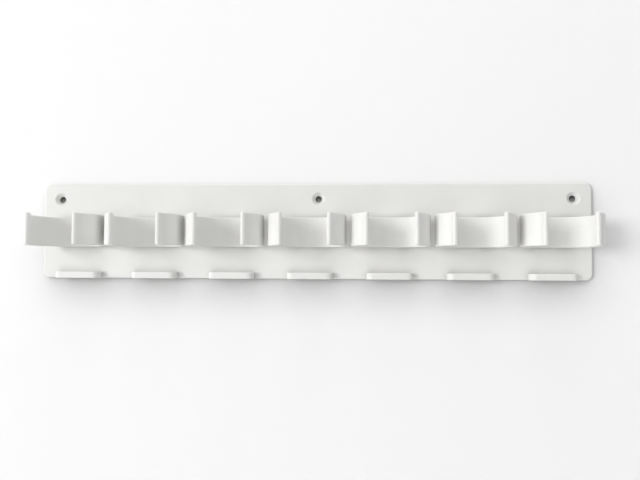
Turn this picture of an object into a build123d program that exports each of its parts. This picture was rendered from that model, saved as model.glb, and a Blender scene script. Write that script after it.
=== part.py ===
from build123d import *
import os

# Door-mounted spice rack, one moulding in white plastic: a flat back plate with
# three countersunk screw holes, a row of open C-shaped jar clips, and a row of
# small ledges along the bottom edge that the jars stand on.
#
# Frame: X along the length, +Y into the door, +Z up. The origin is the centre of
# the plate's flat back face, so everything stands forward of it, towards -Y.

# ---- driving dimensions, millimetres ----
plate_length = 379.0
plate_height = 66.0
plate_thickness = 3.5
plate_corner_radius = 4.5
plate_edge_radius = 1.3  # soft front edge all round

clip_count = 7
clip_pitch = 54.0
clip_outer_radius = 25.6
clip_wall = 3.0
clip_reach = 25.0  # centre of the jar bore, forward of the plate's front face
clip_height = 20.5
clip_mid_z = -1.0
neck_half_gap = 14.1  # half of the narrowest opening between the arms
lip_radius = 6.0  # middle of the wall, where each arm turns outward again
lip_flare = 3.0  # the lips end this many degrees outward of straight forward
rim_radius = 0.85  # soft rims along the top and bottom of every clip

root_width = 16.0  # solid foot that joins the back of each clip to the plate
root_corner_radius = 1.5
root_embed = 1.4

ledge_width = 30.8
ledge_depth = 9.0  # forward of the plate's front face
ledge_thickness = 4.4
ledge_corner_radius = 4.0
ledge_edge_radius = 0.5

hole_radius = 2.2
sink_radius = 4.6
sink_angle = 90.0
hole_z = 22.2
hole_end_x = 177.2
hole_mid_x = 5.5  # the middle hole stands a little right of the centre

# ---- derived ----
front_y = -plate_thickness
bore_y = front_y - clip_reach
clip_inner_radius = clip_outer_radius - clip_wall
clip_mid_radius = clip_outer_radius - clip_wall / 2
clip_low_z = clip_mid_z - clip_height / 2
# each arm follows the bore up to the bend angle, measured from the X axis, and the
# lip then turns about a centre outside the wall
lip_centre_x = neck_half_gap + clip_wall / 2 + lip_radius
lip_centre_r = clip_mid_radius + lip_radius
bend_angle = Vector(1, 0).get_angle(
    Vector(lip_centre_x, (lip_centre_r**2 - lip_centre_x**2) ** 0.5)
)
lip_centre_y = bore_y - (lip_centre_r**2 - lip_centre_x**2) ** 0.5
lip_turn = bend_angle + lip_flare
clip_xs = [(i - (clip_count - 1) / 2) * clip_pitch for i in range(clip_count)]

# ---- one jar clip: a C-shaped wall with lips turned outward, on a solid foot ----
with BuildPart() as clip:
    with BuildSketch(Plane.XY.offset(clip_low_z)) as clip_section:
        with BuildLine() as clip_outline:
            arm_start, arm_sweep = -bend_angle, 180 + 2 * bend_angle
            CenterArc((0, bore_y), clip_outer_radius, arm_start, arm_sweep)
            CenterArc((0, bore_y), clip_inner_radius, arm_start, arm_sweep)
            # right lip: its outer side is hollow, its inner side bulges into the mouth
            right_centre = (lip_centre_x, lip_centre_y)
            right_hollow = CenterArc(
                right_centre, lip_radius - clip_wall / 2, 180 - bend_angle, lip_turn
            )
            right_bulge = CenterArc(
                right_centre, lip_radius + clip_wall / 2, 180 - bend_angle, lip_turn
            )
            right_middle = CenterArc(
                right_centre, lip_radius, 180 - bend_angle, lip_turn, mode=Mode.PRIVATE
            )
            ThreePointArc(
                right_hollow @ 1,
                right_middle @ 1 + (right_middle % 1) * (clip_wall / 2),
                right_bulge @ 1,
            )
            # left lip, the same the other way round
            left_centre = (-lip_centre_x, lip_centre_y)
            left_hollow = CenterArc(
                left_centre, lip_radius - clip_wall / 2, bend_angle, -lip_turn
            )
            left_bulge = CenterArc(
                left_centre, lip_radius + clip_wall / 2, bend_angle, -lip_turn
            )
            left_middle = CenterArc(
                left_centre, lip_radius, bend_angle, -lip_turn, mode=Mode.PRIVATE
            )
            ThreePointArc(
                left_hollow @ 1,
                left_middle @ 1 + (left_middle % 1) * (clip_wall / 2),
                left_bulge @ 1,
            )
        make_face()
        # foot between the back of the wall and the plate
        foot_front = bore_y + clip_inner_radius + 0.6
        foot_back = front_y + root_embed
        with Locations((0, (foot_front + foot_back) / 2)):
            Rectangle(root_width, foot_back - foot_front)
        foot_corners = (
            clip_section.vertices()
            .filter_by_position(Axis.Y, bore_y + 20, front_y - 0.2)
            .filter_by_position(Axis.X, -root_width / 2 - 0.5, root_width / 2 + 0.5)
        )
        fillet(foot_corners, root_corner_radius)
    extrude(amount=clip_height)
    rims = clip.edges().group_by(Axis.Z)[0] + clip.edges().group_by(Axis.Z)[-1]
    fillet(rims, rim_radius)

# ---- one ledge: a small shelf with round front corners, flush with the plate's bottom ----
with BuildPart() as ledge:
    ledge_back = -plate_thickness + plate_edge_radius
    ledge_front = front_y - ledge_depth
    with BuildSketch(Plane.XY.offset(-plate_height / 2)) as ledge_plan:
        with Locations((0, (ledge_back + ledge_front) / 2)):
            Rectangle(ledge_width, ledge_back - ledge_front)
        fillet(ledge_plan.vertices().group_by(Axis.Y)[0], ledge_corner_radius)
    extrude(amount=ledge_thickness)
    # soften the free edges: top, bottom and round the front, not the back end
    ledge_rims = [
        e
        for e in ledge.edges().group_by(Axis.Z)[0] + ledge.edges().group_by(Axis.Z)[-1]
        if e.center().Y < ledge_back - 0.1
    ]
    fillet(ledge_rims, ledge_edge_radius)

# ---- the rack: plate, clips and ledges in one piece ----
with BuildPart() as rack:
    with BuildSketch(Plane.XZ):
        RectangleRounded(plate_length, plate_height, plate_corner_radius)
    extrude(amount=plate_thickness)
    fillet(rack.edges().group_by(Axis.Y)[0], plate_edge_radius)
    with Locations(*[(x, 0, 0) for x in clip_xs]):
        add(clip.part)
    with Locations(*[(x, 0, 0) for x in clip_xs]):
        add(ledge.part)
    # countersunk screw holes, sunk from the front face
    with Locations(Plane(origin=(0, front_y, 0), x_dir=(1, 0, 0), z_dir=(0, -1, 0))):
        with Locations((-hole_end_x, hole_z), (hole_mid_x, hole_z), (hole_end_x, hole_z)):
            CounterSinkHole(hole_radius, sink_radius, counter_sink_angle=sink_angle)

rack.part.label = "rack"
os.makedirs("parts", exist_ok=True)
export_step(rack.part, "parts/rack.step")
print("rack solids", len(rack.part.solids()), "volume", round(rack.part.volume))
print("bend angle", round(bend_angle, 2), "lip centre", round(lip_centre_x, 2), round(lip_centre_y, 2), "bore centre y", bore_y)
print("bounding box", rack.part.bounding_box())
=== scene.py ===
import math

import bmesh
import bpy
from mathutils import Matrix, Vector

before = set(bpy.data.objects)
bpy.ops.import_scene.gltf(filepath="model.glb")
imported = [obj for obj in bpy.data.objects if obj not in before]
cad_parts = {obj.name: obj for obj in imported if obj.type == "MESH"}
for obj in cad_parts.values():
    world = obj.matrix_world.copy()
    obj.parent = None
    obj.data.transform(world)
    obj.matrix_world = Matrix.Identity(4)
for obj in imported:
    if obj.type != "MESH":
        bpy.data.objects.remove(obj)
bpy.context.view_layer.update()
scene = bpy.context.scene
MM = 0.001

# ---------------------------------------------------------------- camera
# Fitted to the outline, holes, clips and ledges: 449 mm in front of the plate,
# a little right of its middle and below it, turned 4 degrees to the left.
FOCAL_PX = 654.7
cam_data = bpy.data.cameras.new("camera")
cam_data.sensor_width = 36.0
cam_data.lens = FOCAL_PX / 640.0 * 36.0
cam_data.clip_start, cam_data.clip_end = 0.01, 20.0
cam = bpy.data.objects.new("camera", cam_data)
scene.collection.objects.link(cam)
yaw, pitch, roll = math.radians(3.947), math.radians(2.489), math.radians(0.275)
forward = Vector((-math.sin(yaw) * math.cos(pitch), math.cos(yaw) * math.cos(pitch), math.sin(pitch)))
right = Vector((math.cos(yaw), math.sin(yaw), 0.0))
up = right.cross(forward)
right, up = (
    right * math.cos(roll) + up * math.sin(roll),
    up * math.cos(roll) - right * math.sin(roll),
)
place = Matrix((right, up, -forward)).transposed().to_4x4()
place.translation = Vector((37.66 * MM, -(449.1 + 3.5) * MM, -25.71 * MM))
cam.matrix_world = place
scene.camera = cam


# ---------------------------------------------------------------- node helpers
def new_material(name):
    m = bpy.data.materials.new(name)
    m.use_nodes = True
    m.node_tree.nodes.clear()
    return m, m.node_tree.nodes, m.node_tree.links


def noise(nodes, links, vector, scale, detail=2.0, rough=0.5):
    n = nodes.new("ShaderNodeTexNoise")
    n.inputs["Scale"].default_value = scale
    n.inputs["Detail"].default_value = detail
    n.inputs["Roughness"].default_value = rough
    links.new(vector, n.inputs["Vector"])
    return n.outputs["Fac"]


def ramp(nodes, links, value, low, high, to_low, to_high, smooth=False):
    r = nodes.new("ShaderNodeMapRange")
    if smooth:
        r.interpolation_type = "SMOOTHSTEP"
    r.inputs["From Min"].default_value = low
    r.inputs["From Max"].default_value = high
    r.inputs["To Min"].default_value = to_low
    r.inputs["To Max"].default_value = to_high
    links.new(value, r.inputs["Value"])
    return r.outputs["Result"]


def near(nodes, distance, samples=8):
    """How open the surface is within the given distance: 1 in the open, towards 0 deep in a crease."""
    n = nodes.new("ShaderNodeAmbientOcclusion")
    n.samples = samples
    n.inputs["Distance"].default_value = distance
    return n


def scaled(nodes, links, color, factor):
    n = nodes.new("ShaderNodeVectorMath")
    n.operation = "SCALE"
    links.new(color, n.inputs[0])
    links.new(factor, n.inputs["Scale"])
    return n.outputs["Vector"]


# ---------------------------------------------------------------- the rack's plastic
def moulded_plastic():
    m, nodes, links = new_material("white_plastic")
    out = nodes.new("ShaderNodeOutputMaterial")
    bsdf = nodes.new("ShaderNodeBsdfPrincipled")
    links.new(bsdf.outputs["BSDF"], out.inputs["Surface"])
    coords = nodes.new("ShaderNodeTexCoord").outputs["Object"]
    # colour: off-white, with a very faint cloudiness of the melt
    cloud = noise(nodes, links, coords, 28.0, 3.0, 0.55)
    speck = noise(nodes, links, coords, 900.0, 2.0, 0.5)
    mix = nodes.new("ShaderNodeMix")
    mix.data_type = "RGBA"
    mix.inputs["A"].default_value = (0.718, 0.716, 0.699, 1)
    mix.inputs["B"].default_value = (0.748, 0.746, 0.729, 1)
    links.new(ramp(nodes, links, cloud, 0.35, 0.65, 0.0, 1.0), mix.inputs["Factor"])
    # painted shade: the colour is darkened in creases, gaps and the corners under the clips and ledges
    painted_crease_shade = ramp(nodes, links, near(nodes, 6 * MM).outputs["AO"], 0.2, 0.95, 0.66, 1.0)
    links.new(scaled(nodes, links, mix.outputs["Result"], painted_crease_shade), bsdf.inputs["Base Color"])
    # satin skin: roughness breathes a little over the surface
    rough_a = ramp(nodes, links, cloud, 0.3, 0.7, 0.45, 0.52)
    add = nodes.new("ShaderNodeMath")
    add.operation = "ADD"
    links.new(rough_a, add.inputs[0])
    links.new(ramp(nodes, links, speck, 0.3, 0.7, -0.02, 0.02), add.inputs[1])
    links.new(add.outputs[0], bsdf.inputs["Roughness"])
    bsdf.inputs["IOR"].default_value = 1.49
    bsdf.inputs["Specular IOR Level"].default_value = 0.5
    bsdf.inputs["Subsurface Weight"].default_value = 0.0
    # bump: fine spark-eroded grain, and a broad sink of a few hundredths of a millimetre
    grain = noise(nodes, links, coords, 2600.0, 2.0, 0.5)
    sink = noise(nodes, links, coords, 22.0, 1.0, 0.5)
    bump_a = nodes.new("ShaderNodeBump")
    bump_a.inputs["Strength"].default_value = 0.25
    bump_a.inputs["Distance"].default_value = 0.00003
    links.new(grain, bump_a.inputs["Height"])
    bump_b = nodes.new("ShaderNodeBump")
    bump_b.inputs["Strength"].default_value = 0.5
    bump_b.inputs["Distance"].default_value = 0.00025
    links.new(sink, bump_b.inputs["Height"])
    links.new(bump_b.outputs["Normal"], bump_a.inputs["Normal"])
    links.new(bump_a.outputs["Normal"], bsdf.inputs["Normal"])
    return m


plastic = moulded_plastic()
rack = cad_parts["rack"]
rack.data.materials.clear()
rack.data.materials.append(plastic)


# ---------------------------------------------------------------- stage
def one_sided(name, color, rough, painted_contact_shade=None, painted_shade_grade=None):
    """Pale paint for the wall and floor. Seen from behind it isn't there, so the views from the back and from below see the rack."""
    m, nodes, links = new_material(name)
    out = nodes.new("ShaderNodeOutputMaterial")
    paint = nodes.new("ShaderNodeBsdfPrincipled")
    paint.inputs["Base Color"].default_value = color
    paint.inputs["Roughness"].default_value = rough
    paint.inputs["Specular IOR Level"].default_value = 0.1
    clear = nodes.new("ShaderNodeBsdfTransparent")
    mix = nodes.new("ShaderNodeMixShader")
    geo = nodes.new("ShaderNodeNewGeometry")
    if painted_contact_shade:
        # painted contact shadow: the wall's colour is darkened below and to the right of the rack
        tint = nodes.new("ShaderNodeRGB")
        tint.outputs[0].default_value = color
        lean = nodes.new("ShaderNodeCombineXYZ")
        for i, v in enumerate((-0.30, -0.55, 0.78)):
            lean.inputs[i].default_value = v
        shade = near(nodes, 70 * MM, 16)
        links.new(lean.outputs["Vector"], shade.inputs["Normal"])
        # it fades out over 42 mm below the plate and 40 mm beside it
        where = nodes.new("ShaderNodeSeparateXYZ")
        links.new(geo.outputs["Position"], where.inputs[0])
        aside = nodes.new("ShaderNodeMath")
        aside.operation = "ABSOLUTE"
        links.new(where.outputs[0], aside.inputs[0])
        fades = nodes.new("ShaderNodeMath")
        fades.operation = "MULTIPLY"
        links.new(ramp(nodes, links, where.outputs[2], -78 * MM, -36 * MM, 0.0, 1.0, True), fades.inputs[0])
        links.new(ramp(nodes, links, aside.outputs[0], 232 * MM, 192 * MM, 0.0, 1.0, True), fades.inputs[1])
        dark = ramp(nodes, links, shade.outputs["AO"], 0.0, 1.0, 1.0 - painted_contact_shade, 0.0)
        amount = nodes.new("ShaderNodeMath")
        amount.operation = "MULTIPLY"
        links.new(dark, amount.inputs[0])
        links.new(fades.outputs[0], amount.inputs[1])
        left_over = nodes.new("ShaderNodeMath")
        left_over.operation = "SUBTRACT"
        left_over.inputs[0].default_value = 1.0
        links.new(amount.outputs[0], left_over.inputs[1])
        links.new(scaled(nodes, links, tint.outputs[0], left_over.outputs[0]), paint.inputs["Base Color"])
    if painted_shade_grade:
        # painted shade: darker upwards, from the first height to the second, for the shadow under the hole's upper rim
        tone = nodes.new("ShaderNodeRGB")
        tone.outputs[0].default_value = color
        level = nodes.new("ShaderNodeSeparateXYZ")
        links.new(geo.outputs["Position"], level.inputs[0])
        shaded = ramp(nodes, links, level.outputs[2], painted_shade_grade[0], painted_shade_grade[1], 1.0, painted_shade_grade[2])
        links.new(scaled(nodes, links, tone.outputs[0], shaded), paint.inputs["Base Color"])
    links.new(geo.outputs["Backfacing"], mix.inputs["Fac"])
    links.new(paint.outputs["BSDF"], mix.inputs[1])
    links.new(clear.outputs["BSDF"], mix.inputs[2])
    links.new(mix.outputs["Shader"], out.inputs["Surface"])
    return m


def quad(bm, corners):
    return bm.faces.new([bm.verts.new(c) for c in corners])


# the wall's colour carries a painted contact shadow below and to the right of the rack
wall_paint = one_sided("wall_paint", (0.88, 0.88, 0.88, 1), 0.7, painted_contact_shade=0.3)
floor_paint = one_sided("floor_paint", (0.88, 0.88, 0.88, 1), 0.7)
# painted shade: grey discs behind the screw holes, darker upwards as a painted shadow of the holes' upper rims
painted_hole_shade = one_sided("painted_hole_shade", (0.31, 0.31, 0.305, 1), 0.9, painted_shade_grade=(20.2 * MM, 23.6 * MM, 0.17))
WALL_Y = 0.0004
INSET = 2 * MM
hx, hz = 0.1895 - INSET, 0.033 - INSET
bm = bmesh.new()
# the wall is left out behind the plate, where nothing but the screw holes shows it
X0, X1, Z0, Z1 = -3.0, 3.0, -1.1, 2.4
for (xa, xb, za, zb) in ((X0, -hx, Z0, Z1), (hx, X1, Z0, Z1), (-hx, hx, hz, Z1), (-hx, hx, Z0, -hz)):
    quad(bm, [(xa, WALL_Y, za), (xb, WALL_Y, za), (xb, WALL_Y, zb), (xa, WALL_Y, zb)])
# painted shade: grey discs flush with the wall behind the plate's screw holes stand for the shaded inside of the holes
for x in (-0.1772, 0.0055, 0.1772):
    ring = [bm.verts.new((x + 0.003 * math.cos(a), WALL_Y, 0.0222 + 0.003 * math.sin(a))) for a in [2 * math.pi * i / 24 for i in range(24)]]
    bm.faces.new(ring).material_index = 1
for f in bm.faces:
    f.normal_update()
    if f.normal.y > 0:
        f.normal_flip()
me = bpy.data.meshes.new("wall")
bm.to_mesh(me)
bm.free()
wall = bpy.data.objects.new("wall", me)
scene.collection.objects.link(wall)
me.materials.append(wall_paint)
me.materials.append(painted_hole_shade)

bm = bmesh.new()
f = quad(bm, [(-3, 0.6, Z0), (3, 0.6, Z0), (3, -4, Z0), (-3, -4, Z0)])
f.normal_update()
if f.normal.z < 0:
    f.normal_flip()
me = bpy.data.meshes.new("floor")
bm.to_mesh(me)
bm.free()
floor = bpy.data.objects.new("floor", me)
scene.collection.objects.link(floor)
me.materials.append(floor_paint)


# ---------------------------------------------------------------- light
def area(name, where, aim, size, power, color=(1, 1, 1)):
    d = bpy.data.lights.new(name, "AREA")
    d.shape = "RECTANGLE"
    d.size, d.size_y = size
    d.energy = power
    d.color = color
    o = bpy.data.objects.new(name, d)
    scene.collection.objects.link(o)
    o.location = where
    o.rotation_mode = "QUATERNION"
    o.rotation_quaternion = (Vector(aim) - Vector(where)).to_track_quat("-Z", "Y")
    return o


def polar(az, el, dist):
    """A place dist metres from the rack, az degrees right (left is negative) and el degrees up from straight in front."""
    a, e = math.radians(az), math.radians(el)
    return (dist * math.sin(a) * math.cos(e), -dist * math.cos(a) * math.cos(e), dist * math.sin(e))


area("key", polar(-35, 5, 3.4), (0, 0, 0), (1.08, 1.08), 49.5)
area("overhead", (0, -0.25, 1.6), (0, 0, 0), (1.0, 0.4), 10.0)
# a wide soft wash from the left side, without shadows of its own
area("wash_side", polar(-85, 0, 4.0), (0, 0, 0), (1.2, 1.2), 42.5).data.use_shadow = False

# the room: even and pale, lighter in front and towards the right
world = bpy.data.worlds.new("studio")
scene.world = world
world.use_nodes = True
wn, wl = world.node_tree.nodes, world.node_tree.links
bg = wn["Background"]
bg.inputs["Color"].default_value = (1, 1, 1, 1)
apart = wn.new("ShaderNodeSeparateXYZ")
wl.new(wn.new("ShaderNodeTexCoord").outputs["Generated"], apart.inputs[0])
total = wn.new("ShaderNodeMath")
total.operation = "ADD"
wl.new(ramp(wn, wl, apart.outputs[0], 0.0, 1.0, 0.2, 0.46), total.inputs[0])
wl.new(ramp(wn, wl, apart.outputs[1], 0.0, -1.0, 0.0, 0.46), total.inputs[1])
wl.new(total.outputs[0], bg.inputs["Strength"])

scene.view_settings.view_transform = "Standard"
scene.view_settings.look = "None"
scene.view_settings.exposure = 0.0
scene.view_settings.gamma = 1.0
